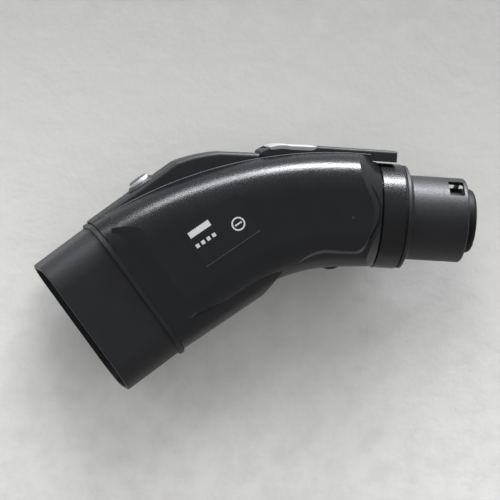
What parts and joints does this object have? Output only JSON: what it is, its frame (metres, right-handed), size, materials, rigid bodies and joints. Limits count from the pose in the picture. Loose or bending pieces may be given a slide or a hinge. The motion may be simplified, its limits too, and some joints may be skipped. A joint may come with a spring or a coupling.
{
  "type": "electric vehicle charging adapter",
  "caption": "Bent hand-held adapter with a combined inlet sleeve, a round direct-current plug, a thumb latch and a power button, lying on its side.",
  "frame": {"origin": "centre of the plug flange's front face, on the barrel's axis", "axes": "+X out along the plug barrel, +Y towards the latch lever and the button, +Z towards the label side; the adapter lies on the flat panel of the -Z side"},
  "size_m": [0.3406, 0.1974, 0.0921],
  "materials": {
    "shell_plastic": "satin black moulded plastic with a fine grain",
    "spine_plastic": "matte black",
    "sleeve_plastic": "matte black glass-filled plastic",
    "insulator_plastic": "matte black",
    "inner_plastic": "dark grey",
    "seal_rubber": "matt rubber",
    "button_metal": "satin bright metal",
    "pad_plastic": "glossy dark grey",
    "steel": "zinc-plated steel",
    "contact_plating": "silver-plated brass",
    "copper": "bare copper bar",
    "label_film": "black film",
    "board_laminate": "green laminate",
    "cell_wrap": "blue shrink wrap",
    "cable_jacket": "flexible jacket"
  },
  "bodies": {
    "housing": {"label_side_shell": "shell_plastic", "floor_side_shell": "shell_plastic", "spine_cover": "spine_plastic", "button_bezel": "button_metal", "button_switch": "inner_plastic", "latch_pin": "steel", "latch_spring": "steel", "inlet_sleeve": "sleeve_plastic", "inlet_gasket": "seal_rubber", "inlet_core": "insulator_plastic", "inlet_back_plate": "insulator_plastic", "inlet_plate_screws": "steel", "plug_housing": "sleeve_plastic", "end_ring": "sleeve_plastic", "plug_gasket": "seal_rubber", "plug_core": "insulator_plastic", "plug_back_plate": "insulator_plastic", "plug_core_screws": "steel", "plug_seal": "seal_rubber", "busbar_plus": "copper", "busbar_minus": "copper", "busbar_bolts": "steel", "earth_cable": "cable_jacket", "signal_cable": "cable_jacket", "pilot_cable": "cable_jacket", "control_board": "board_laminate", "processor_chip": "inner_plastic", "board_relay": "inner_plastic", "cable_header": "inner_plastic", "board_screws": "steel", "battery_tray": "inner_plastic", "battery_cell_lower": "cell_wrap", "battery_cell_upper": "cell_wrap", "shell_screws": "steel", "rating_label": "label_film", "inlet_dc_plus_pin": "contact_plating", "inlet_dc_plus_tip": "insulator_plastic", "inlet_dc_minus_pin": "contact_plating", "inlet_dc_minus_tip": "insulator_plastic", "inlet_earth_pin": "contact_plating", "inlet_earth_tip": "insulator_plastic", "inlet_pilot_pin": "contact_plating", "inlet_proximity_pin": "contact_plating", "plug_dc_plus_socket": "contact_plating", "plug_dc_minus_socket": "contact_plating", "plug_earth_socket": "contact_plating", "plug_supply_plus_socket": "contact_plating", "plug_supply_minus_socket": "contact_plating", "plug_data_high_socket": "contact_plating", "plug_confirm_one_socket": "contact_plating", "plug_confirm_two_socket": "contact_plating", "plug_data_low_socket": "contact_plating"},
    "latch_lever": {"latch_lever": "spine_plastic", "thumb_pad": "pad_plastic"},
    "power_button": {"power_button": "button_metal"}
  },
  "joints": [
    {"name": "latch_hinge", "type": "hinge", "parent": "housing", "child": "latch_lever", "pos_m": [-0.07, 0.0365, 0], "axis": [0, 0, 1], "range_deg": [0, 5], "stiffness_Nm_per_rad": 0.8, "springref_deg": -8.59, "deforming": ["latch_spring"]},
    {"name": "button_press", "type": "slide", "parent": "housing", "child": "power_button", "axis": [0.6288, -0.7776, 0], "range_m": [0, 0.0015], "stiffness_N_per_m": 400, "springref_m": -0.0005}
  ]
}
